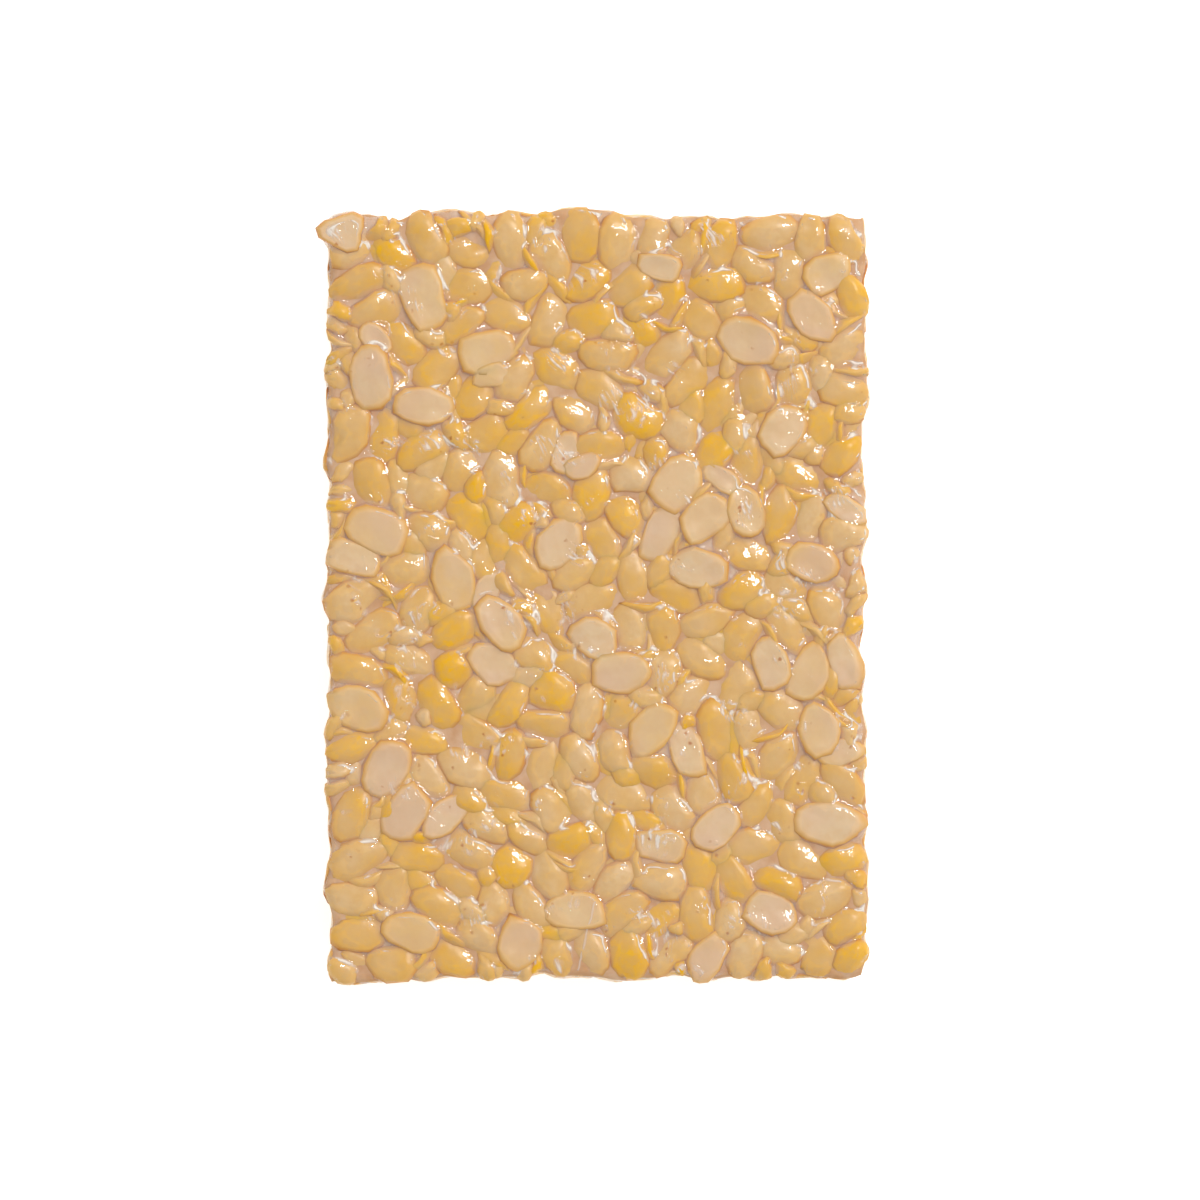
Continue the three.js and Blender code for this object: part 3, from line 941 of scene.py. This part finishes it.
def laid_beans(group, points, shapes, unevenness, blots_per_metre, finish):
    shapes = add(group, "GeometryNodeCollectionInfo",
                 {"Collection": shapes, "Separate Children": True, "Reset Children": True})
    beans = add(group, "GeometryNodeInstanceOnPoints",
                {"Points": points, "Instance": shapes, "Pick Instance": True,
                 "Instance Index": named(group, "shape", "INT"),
                 "Rotation": named(group, "facing", "QUATERNION"),
                 "Scale": named(group, "half_size", "FLOAT_VECTOR")})
    real = add(group, "GeometryNodeRealizeInstances", {"Geometry": beans})
    blots = noise(place_in(group), blots_per_metre, 1.0, "Color")
    shove = scaled(vector_math("SUBTRACT", blots, (0.5, 0.5, 0.5)), unevenness)
    uneven = add(group, "GeometryNodeSetPosition", {"Geometry": real, "Offset": shove})

    place = place_in(group)
    outward = named(group, "outward", "FLOAT_VECTOR")
    distance = vector_math("DOT_PRODUCT", vector_math("ABSOLUTE", outward), tuple(HALF * MM),
                           "Value")
    height = vector_math("DOT_PRODUCT", place, outward, "Value") - distance
    on_box = vector_math("SUBTRACT", place, scaled(outward, height))
    below = scaled(outward, math_node("MINIMUM", height))
    place = vector_math("ADD", wrapped(on_box, math_node("MAXIMUM", height)), below)
    bent = add(group, "GeometryNodeSetPosition", {"Geometry": uneven, "Position": place})
    return dressed(bent, finish)


lay_tree = make_group("lay beans", laid_beans, "Geometry", points="Geometry",
                      shapes="Collection", unevenness="Float", blots_per_metre="Float",
                      finish="Material")

# %% [markdown]
# ## From layout to points
#
# Each bean becomes one vertex of a mesh without faces. Its facing is a quaternion: the bean's x
# runs along its length, and its z points out of the face it lies on. The tree's result is then
# taken as a plain mesh, on an object of its own at the origin.

# %% Make the beans
UNEVEN = {"size": 4.5, "amount": 1.7}
FULLNESS = 1.08     # beans swell into each other, and their meeting lines turn straight
OVERLAP = 0.4       # how far the layout is spread past the box, so that the edges are covered
SPREAD = (HALF + OVERLAP) / LAID
pieces = {}


def in_scene(name, data):
    """A new object in the scene for this mesh, light or camera."""
    thing = bpy.data.objects.new(name, data)
    bpy.context.scene.collection.objects.link(thing)
    return thing


def grown(name, mesh, tree, values):
    """What a node tree makes of a mesh. A modifier knows its inputs by their identifiers."""
    source = in_scene(name, mesh)
    modifier = source.modifiers.new(tree.name, "NODES")
    modifier.node_group = tree
    for item in tree.interface.items_tree:
        if item.in_out == "INPUT" and item.name in values:
            modifier[item.identifier] = values[item.name]
    evaluated = source.evaluated_get(bpy.context.evaluated_depsgraph_get())
    result = bpy.data.meshes.new_from_object(evaluated)
    bpy.data.objects.remove(source)
    result.name = name
    print(name, "has", len(result.polygons), "faces")
    return in_scene(name, result)


def points_of(kind):
    """One vertex for each bean of this kind, with what the tree reads."""
    rows = [(face, bean) for face in faces for bean in face["beans"] if bean["kind"] == kind]
    places, facings, sizes = [], [], []
    for face, bean in rows:
        turn = bean["turn"] + bean["flip"]
        along = face["along"] * math.cos(turn) + face["across"] * math.sin(turn)
        across = face["across"] * math.cos(turn) - face["along"] * math.sin(turn)
        flat = face["along"] * bean["x"] + face["across"] * bean["y"]
        deep = face["outward"] * (face["distance"] + bean["level"])
        places.append(tuple((deep + flat * SPREAD) * MM))
        tilt = Matrix.Rotation(bean["tilt"][0], 3, "X") @ Matrix.Rotation(bean["tilt"][1], 3, "Y")
        facing = Matrix((along, across, face["outward"])).transposed() @ tilt
        facings.append(facing.to_quaternion()[:])
        half = [bean["length"] / 2 * FULLNESS, bean["width"] / 2 * FULLNESS,
                bean["rise"] * face["relief"]]
        sizes.append([value * MM for value in half])
    mesh = bpy.data.meshes.new("points")
    mesh.from_pydata(places, [], [])
    set_attribute(mesh, "facing", "QUATERNION", facings)
    set_attribute(mesh, "half_size", "FLOAT_VECTOR", sizes)
    set_attribute(mesh, "outward", "FLOAT_VECTOR", [face["outward"] for face, _ in rows])
    set_attribute(mesh, "tone", "FLOAT", [bean["tone"] for _, bean in rows])
    set_attribute(mesh, "shape", "INT", [bean["shape"] for _, bean in rows])
    return mesh


for name, kind, finish in (("whole_beans", "whole", soybean), ("split_beans", "split", split_face),
                           ("bean_chips", "chip", soybean), ("bean_slivers", "sliver", soybean)):
    pieces[name] = grown(name, points_of(kind), lay_tree,
                         {"shapes": collections[kind], "unevenness": UNEVEN["amount"] * MM,
                          "blots_per_metre": 1 / (UNEVEN["size"] * MM), "finish": finish})

# %% [markdown]
# ## The chip at one corner
#
# One split piece lies across a corner of the top and reaches out over both sides. The wrap rule
# would fold it round the edge, so this one is placed as it is.

# %% Make the corner chip
CORNER_CHIP = {"x": -47.0, "y": 68.0, "level": 1.0, "length": 8.6, "width": 7.6, "turn": -8,
               "tone": 0.1, "rise": 1.3, "tilt": 4, "wedge": 0.17}


def wedge_outline(x, y):
    """A rounded triangle, one corner to the left."""
    scale = 1 - CORNER_CHIP["wedge"] * math.cos(3 * math.atan2(y, x))
    return x * scale, y * scale


def make_corner_chip():
    mesh = ring_mesh("corner_chip", rings_of["split"], wedge_outline, CROWN["split"], 0.0)
    chip = CORNER_CHIP
    place = (Vector((chip["x"], chip["y"], HALF[2] + chip["level"])) + Vector(TO_FRAME)) * MM
    half = Vector((chip["length"] / 2, chip["width"] / 2, chip["rise"])) * MM
    turn = Matrix.Rotation(math.radians(chip["turn"]), 4, "Z")
    tilt = Matrix.Rotation(math.radians(chip["tilt"]), 4, "Y")
    mesh.transform(Matrix.Translation(place) @ turn @ tilt @ Matrix.Diagonal(half.to_4d()))
    set_attribute(mesh, "tone", "FLOAT", [chip["tone"]] * len(mesh.vertices))
    mesh.materials.append(split_face)
    return in_scene("corner_chip", mesh)


pieces["corner_chip"] = make_corner_chip()

# %% [markdown]
# ## The core of mould
#
# Mould fills every gap between the beans up to a little below their tops, and holds them. It is
# one closed solid: a cube with many points, wrapped like the beans and raised by noise. Its
# underside is a little higher than the beans that the table presses flat.

# %% Make the mould core
MOULD = {"level": 0.62, "wall level": -0.2, "bumps": 0.9, "size": 3.0, "step": 1.25,
         "under": 0.35, "top band": 0.1}


def raised_cube(group, level, wall_level, bumps, bumps_per_metre, finish):
    counts = [int(2 * half / MOULD["step"]) + 1 for half in HALF]
    cube = add(group, "GeometryNodeMeshCube",
               {"Size": tuple(2 * HALF * MM), "Vertices X": counts[0], "Vertices Y": counts[1],
                "Vertices Z": counts[2]})
    place = place_in(group)
    above_middle = math_node("ABSOLUTE", part(place, "Z"))
    on_top = math_node("GREATER_THAN", above_middle, (HALF[2] - MOULD["top band"]) * MM)
    rise = (noise(place, bumps_per_metre, 2.0) - 0.5) * bumps + between(on_top, wall_level, level)
    core = add(group, "GeometryNodeSetPosition",
               {"Geometry": cube, "Position": wrapped(place, rise)})
    return dressed(add(group, "GeometryNodeSetShadeSmooth", {"Geometry": core}), finish)


mould_tree = make_group("mould core", raised_cube, "Geometry", level="Float",
                        wall_level="Float", bumps="Float", bumps_per_metre="Float",
                        finish="Material")


def vertices_of(piece):
    """The places of a piece's vertices in metres, one row each."""
    places = np.empty(len(piece.data.vertices) * 3)
    piece.data.vertices.foreach_get("co", places)
    return places.reshape(-1, 3)


def move_vertices(piece, places):
    piece.data.vertices.foreach_set("co", places.ravel())
    piece.data.update()


def make_mould_core():
    piece = grown("mould_core", bpy.data.meshes.new("seed"), mould_tree,
                  {"level": MOULD["level"] * MM, "wall_level": MOULD["wall level"] * MM,
                   "bumps": MOULD["bumps"] * MM, "bumps_per_metre": 1 / (MOULD["size"] * MM),
                   "finish": mould})
    places = vertices_of(piece)
    places[:, 2] = np.maximum(places[:, 2], (TABLE_GAP + MOULD["under"]) * MM)
    move_vertices(piece, places)
    return piece


pieces["mould_core"] = make_mould_core()

# %% [markdown]
# ## The film
#
# Vacuum pulls the film down on to the beans, but it can't reach the bottom of a narrow gap. We
# could drop a cloth on the beans, which is slow at this fineness. Instead we feel for the
# surface with rays from outside, one for each point of a fine grid on the box, and then close
# the gaps as if a small ball rolled over the beans: where the ball can't go, the film bridges.

# %% Feel for the surface
FILM = {"step": 0.48, "ball": 1.0, "room": 0.08, "start": 4.0, "deepest": 1.8}
cells = [int(round(2 * half / FILM["step"])) for half in HALF]


def wrap_places(on_box, heights):
    """The wrap rule again, for arrays of places in millimetres."""
    inner = HALF - EDGE_RADIUS
    centre = np.clip(on_box, -inner, inner)
    outwards = on_box - centre
    outwards /= np.linalg.norm(outwards, axis=-1, keepdims=True)
    return centre + outwards * (EDGE_RADIUS + heights[..., None]), outwards


def smooth_tree(piece):
    """The piece's surface for rays, rounded by one subdivision so that its facets don't print
    through the film."""
    modifier = piece.modifiers.new("round", "SUBSURF")
    modifier.levels = 1
    tree = BVHTree.FromObject(piece, bpy.context.evaluated_depsgraph_get())
    piece.modifiers.remove(modifier)
    return tree


def feel_heights():
    """How high the beans and the mould stand over the round box at each point of the grid."""
    shell = np.zeros([count + 1 for count in cells], dtype=bool)
    shell[[0, -1]] = True
    shell[:, [0, -1]] = True
    shell[:, :, [0, -1]] = True
    indices = np.nonzero(shell)
    on_box = np.stack([-HALF[a] + 2 * HALF[a] * indices[a] / cells[a] for a in range(3)], axis=1)
    starts, outwards = wrap_places(on_box, np.full(len(on_box), FILM["start"]))
    starts = [Vector(start) for start in (starts + TO_FRAME) * MM]
    inwards = [Vector(-outward) for outward in outwards]
    reach = (FILM["start"] + FILM["deepest"]) * MM
    heights = np.full(shell.shape, -FILM["deepest"])
    for piece in pieces.values():
        tree = smooth_tree(piece)
        for i, j, k, start, inward in zip(*indices, starts, inwards):
            hit = tree.ray_cast(start, inward, reach)
            if hit[0] is not None:
                heights[i, j, k] = max(heights[i, j, k], FILM["start"] - hit[3] / MM)
    return heights


heights = feel_heights()
print("felt", int((heights > -FILM["deepest"]).sum()), "places in",
      f"{time.time() - started:.1f} s")

# %% [markdown]
# The rolling ball is a dilation and an erosion by a parabola, first along one side of the grid
# and then along the other, which is quick. Each face of the box borrows a margin from its
# neighbours, so that the film runs smoothly over the edges.

# %% Close the gaps
MARGIN = 7
DEEPEST_DROP = 2.2
MOST_LIFT = 0.6
DIAGONAL = math.sqrt(0.5)


def face_with_margin(grid, fixed, side):
    """One face of the grid with a margin that folds over on to the neighbouring faces."""
    free = [a for a in range(3) if a != fixed]
    spans = [np.arange(-MARGIN, cells[a] + 1 + MARGIN) for a in free]
    first, second = np.meshgrid(*spans, indexing="ij")
    over = np.zeros_like(first)
    index = [None] * 3
    for a, values in zip(free, (first, second)):
        index[a] = np.clip(values, 0, cells[a])
        over = np.maximum(over, np.abs(values - index[a]))
    index[fixed] = np.clip(over if side == 0 else cells[fixed] - over, 0, cells[fixed])
    return grid[tuple(index)]


def roll(values, sign):
    """Dilation, or erosion for sign -1, by a parabola as wide as the ball."""
    ball, step = FILM["ball"], FILM["step"]
    reach = int(math.sqrt(2 * ball * DEEPEST_DROP) / step) + 1
    for along in (0, 1):
        best = values
        for shift in range(1, reach + 1):
            drop = (shift * step) ** 2 / (2 * ball)
            for direction in (shift, -shift):
                moved = np.roll(values, direction, axis=along) - sign * drop
                best = np.maximum(best, moved) if sign > 0 else np.minimum(best, moved)
        values = best
    return values


def smoothed(values, rounds):
    for _ in range(rounds):
        for along in (0, 1):
            values = (np.roll(values, 1, along) + 2 * values + np.roll(values, -1, along)) / 4
    return values


def stretch_film(grid):
    """The film's height at each point of the grid, how far it has lifted off there, and how
    steeply it falls towards the softboxes, up and to the right, which places the painted rim
    highlights."""
    sums = np.zeros((3, *grid.shape))
    count = np.zeros(grid.shape)
    for fixed in range(3):
        for side in (0, 1):
            felt = face_with_margin(grid, fixed, side)
            closed = roll(roll(felt, 1), -1)
            taut = smoothed(closed, 1) + FILM["room"]
            lifted = smoothed(np.minimum(closed - felt, MOST_LIFT), 2)
            # How steeply the film falls towards the softboxes, up and to the right, which places
            # the painted rim highlights.
            falls = -sum(np.gradient(smoothed(taut, 1), FILM["step"])) * DIAGONAL
            spot = [slice(None)] * 3
            spot[fixed] = -1 if side else 0
            for layer, values in zip(sums, (taut, lifted, falls)):
                layer[tuple(spot)] += values[MARGIN:-MARGIN, MARGIN:-MARGIN]
            count[tuple(spot)] += 1
    return sums / np.maximum(count, 1)


film_heights, film_lifts, film_falls_to_softboxes = stretch_film(heights)
print("film heights in mm:", round(float(film_heights.min()), 2), "to",
      round(float(film_heights.max()), 2))

# %% [markdown]
# A vacuum pack has two webs of film, one above and one below. The upper one covers the top and
# the walls and laps under the lower edge. The lower one is pressed flat by the table, so it
# needs fewer points.

# %% Make the two webs of film
LAP = int(EDGE_RADIUS / FILM["step"]) + 1
FILM_FLOOR = 0.04


def film_mesh(name, quads):
    """A mesh from quads of grid points, each an array of i, j and k."""
    shape = [count + 1 for count in cells]
    flat = np.ravel_multi_index(quads.reshape(-1, 3).T, shape)
    used, where = np.unique(flat, return_inverse=True)
    index = np.unravel_index(used, shape)
    on_box = -HALF + 2 * HALF * np.stack(index, axis=1) / np.array(cells)
    places, _ = wrap_places(on_box, film_heights[index])
    places += TO_FRAME
    places[:, 2] = np.maximum(places[:, 2], FILM_FLOOR)
    mesh = bpy.data.meshes.new(name)
    mesh.from_pydata((places * MM).tolist(), [], where.reshape(-1, 4).tolist())
    mesh.shade_smooth()
    set_attribute(mesh, "lift", "FLOAT", film_lifts[index])
    set_attribute(mesh, "fall_to_softboxes", "FLOAT", film_falls_to_softboxes[index])
    mesh.materials.append(film)
    print(name, "has", len(mesh.polygons), "faces")
    return in_scene(name, mesh)


def face_quads(fixed, side, spans, stride=1):
    """The quads of one face of the grid, turned so that they face outwards."""
    free = [a for a in range(3) if a != fixed]
    first, second = np.meshgrid(*[np.arange(low, high, stride) for low, high in spans],
                                indexing="ij")
    ring = [(0, 0), (stride, 0), (stride, stride), (0, stride)]
    # The two free axes are in order, so they turn the wrong way round for y.
    if (side == 0) != (fixed == 1):
        ring = ring[::-1]
    quads = np.empty((first.size, 4, 3), dtype=int)
    quads[:, :, fixed] = cells[fixed] if side else 0
    for corner, (one, two) in enumerate(ring):
        quads[:, corner, free[0]] = np.minimum(first.ravel() + one, spans[0][1])
        quads[:, corner, free[1]] = np.minimum(second.ravel() + two, spans[1][1])
    return quads


nx, ny, nz = cells
upper_quads = [face_quads(2, 1, [(0, nx), (0, ny)])]
for fixed, across in ((0, ny), (1, nx)):
    upper_quads += [face_quads(fixed, side, [(0, across), (0, nz)]) for side in (0, 1)]
lap_spans = [[(0, nx), (0, LAP)], [(0, nx), (ny - LAP, ny)],
             [(0, LAP), (LAP, ny - LAP)], [(nx - LAP, nx), (LAP, ny - LAP)]]
upper_quads += [face_quads(2, 0, spans) for spans in lap_spans]
lower_quads = face_quads(2, 0, [(LAP, nx - LAP), (LAP, ny - LAP)], 2)
pieces["upper_film"] = film_mesh("upper_film", np.concatenate(upper_quads))
pieces["lower_film"] = film_mesh("lower_film", lower_quads)

# %% [markdown]
# ## Uneven sides
#
# No side of a real cake is straight: the box it grew in gives way, and a bean sticks out here and
# there. Each side has a few bulges and dents, with short waves between them. One rule moves every
# point of beans, mould and film alike, fully at the side and not at all some way in, so nothing
# comes apart.

# %% Bend the sides
# Each bulge, or dent below zero, is its place along the side, how far it comes out and its width.
BULGES = {
    "right": [[40, 0.5, 5], [27, -0.9, 5], [7, -0.4, 4], [-8, -0.9, 6], [-18, -0.4, 5],
              [-56, 0.6, 4]],
    "left": [[40, 0.4, 6], [25, 0.5, 4], [0, 0.9, 6], [-30, 0.7, 6], [-55, 0.8, 3],
             [-61, -0.8, 3]],
    "far end": [[-39, -0.7, 4], [-27, 0.9, 3], [-3, 1.3, 6], [9, -0.8, 4], [24, -0.9, 8],
                [46, -0.6, 4]],
    "near end": [[-44, 0.7, 7], [-23, -0.5, 4], [-9, -0.9, 6], [14, -0.7, 4],
                 [35, -0.5, 10]],
}
MOVED_OUT = {"right": -0.4, "left": 0.4, "far end": -0.3, "near end": -0.9}
SIDES = {"right": (0, 1), "left": (0, -1), "far end": (1, 1), "near end": (1, -1)}
WAVES = [[13.0, 0.18], [8.6, 0.2], [6.1, 0.12]]    # length and height
BAND = 12.0
waves = np.random.default_rng(SEED["sides"])
steps = np.arange(-80.0, 80.0, 0.5)


def side_profile(name):
    """How far a side comes out at each step along it."""
    out = np.full(len(steps), float(MOVED_OUT[name]))
    for place, amount, width in BULGES[name]:
        out += amount * np.exp(-((steps - place) / width) ** 2)
    for length, height in WAVES:
        out += height * np.sin(steps * math.tau / length + waves.uniform(0, math.tau))
    return out


def nearness(across, side, half):
    """1 at the side and 0 where its band ends."""
    share = np.clip((across * side - half + BAND) / BAND, 0, 1)
    return share * share * (3 - 2 * share)


profiles = {name: side_profile(name) for name in BULGES}
for piece in pieces.values():
    places = vertices_of(piece) / MM - TO_FRAME
    moved = places.copy()
    for name, (a, side) in SIDES.items():
        out = np.interp(places[:, 1 - a], steps, profiles[name])
        moved[:, a] += side * out * nearness(places[:, a], side, HALF[a])
    move_vertices(piece, (moved + TO_FRAME) * MM)
print("sides come out by", *(f"{name} {values.min():.1f} to {values.max():.1f} mm,"
                             for name, values in profiles.items()))

# %% [markdown]
# ## Floor, light and camera
#
# A pale floor, an even soft light from all round that fills every gap, and two long softboxes at
# the right, one above the other, whose reflections are the highlights on the beans. The camera
# looks straight down.

# %% Stage
SOFTBOXES = {"high softbox": {"slant": 30, "heading": 48, "size": (0.9, 0.36), "power": 32},
             "low softbox": {"slant": 56, "heading": 42, "size": (1.4, 0.6), "power": 10}}
LIGHT_DISTANCE = 3.0
FILL = {"colour": (0.97, 1.0, 1.0, 1.0), "strength": 0.58}
FLOOR = {"side": 3.0, "level": -0.0001, "glow": 0.62}
CAMERA = {"lens": 200, "sensor": 36, "width": 0.222, "x": 0.0009, "y": -0.0003, "level": 0.0155}


def floor_shader(place):
    return add(place.tree, "ShaderNodeBsdfPrincipled",
               {"Base Color": (0.95, 0.95, 0.95, 1.0), "Roughness": 0.9,
                "Specular IOR Level": 0.0, "Emission Color": (1.0, 1.0, 1.0, 1.0),
                "Emission Strength": FLOOR["glow"]})


def make_floor():
    mesh = bpy.data.meshes.new("floor")
    corners = [(-1, -1), (1, -1), (1, 1), (-1, 1)]
    mesh.from_pydata([(x * FLOOR["side"], y * FLOOR["side"], FLOOR["level"])
                      for x, y in corners], [], [(0, 1, 2, 3)])
    mesh.materials.append(make_finish("floor", floor_shader))
    in_scene("floor", mesh)


def make_softbox(name, slant, heading, size, power):
    slant, heading = math.radians(slant), math.radians(heading)
    towards = Vector((math.sin(slant) * math.cos(heading), math.sin(slant) * math.sin(heading),
                      math.cos(slant)))
    data = bpy.data.lights.new(name, "AREA")
    data.shape = "RECTANGLE"
    data.size, data.size_y = size
    data.energy = power
    softbox = in_scene(name, data)
    softbox.location = towards * LIGHT_DISTANCE
    softbox.rotation_euler = towards.to_track_quat("Z", "Y").to_euler()


def make_fill():
    world = bpy.data.worlds.new("studio")
    world.use_nodes = True
    background = world.node_tree.nodes["Background"]
    background.inputs["Color"].default_value = FILL["colour"]
    background.inputs["Strength"].default_value = FILL["strength"]
    bpy.context.scene.world = world


def make_camera():
    data = bpy.data.cameras.new("camera")
    data.lens = CAMERA["lens"]
    data.sensor_width = CAMERA["sensor"]
    distance = CAMERA["width"] * data.lens / data.sensor_width
    camera = in_scene("camera", data)
    camera.location = (CAMERA["x"], CAMERA["y"], CAMERA["level"] + distance)
    bpy.context.scene.camera = camera
    print(f"camera {distance:.2f} m above the cake")


make_floor()
for name, settings in SOFTBOXES.items():
    make_softbox(name, **settings)
make_fill()
make_camera()
bpy.context.scene.view_settings.view_transform = "Standard"

# %% [markdown]
# ## Join the pieces to the frame
#
# Every piece rides on the cake's one body and stands for the solid `tempeh_cake`.

# %% Ride, replace and finish
for name, piece in pieces.items():
    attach(piece, "root")
    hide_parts("tempeh_cake")

for collection in collections.values():
    for base in list(collection.objects):
        bpy.data.objects.remove(base)
    bpy.data.collections.remove(collection)

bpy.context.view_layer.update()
print(f"made in {time.time() - started:.1f} s")
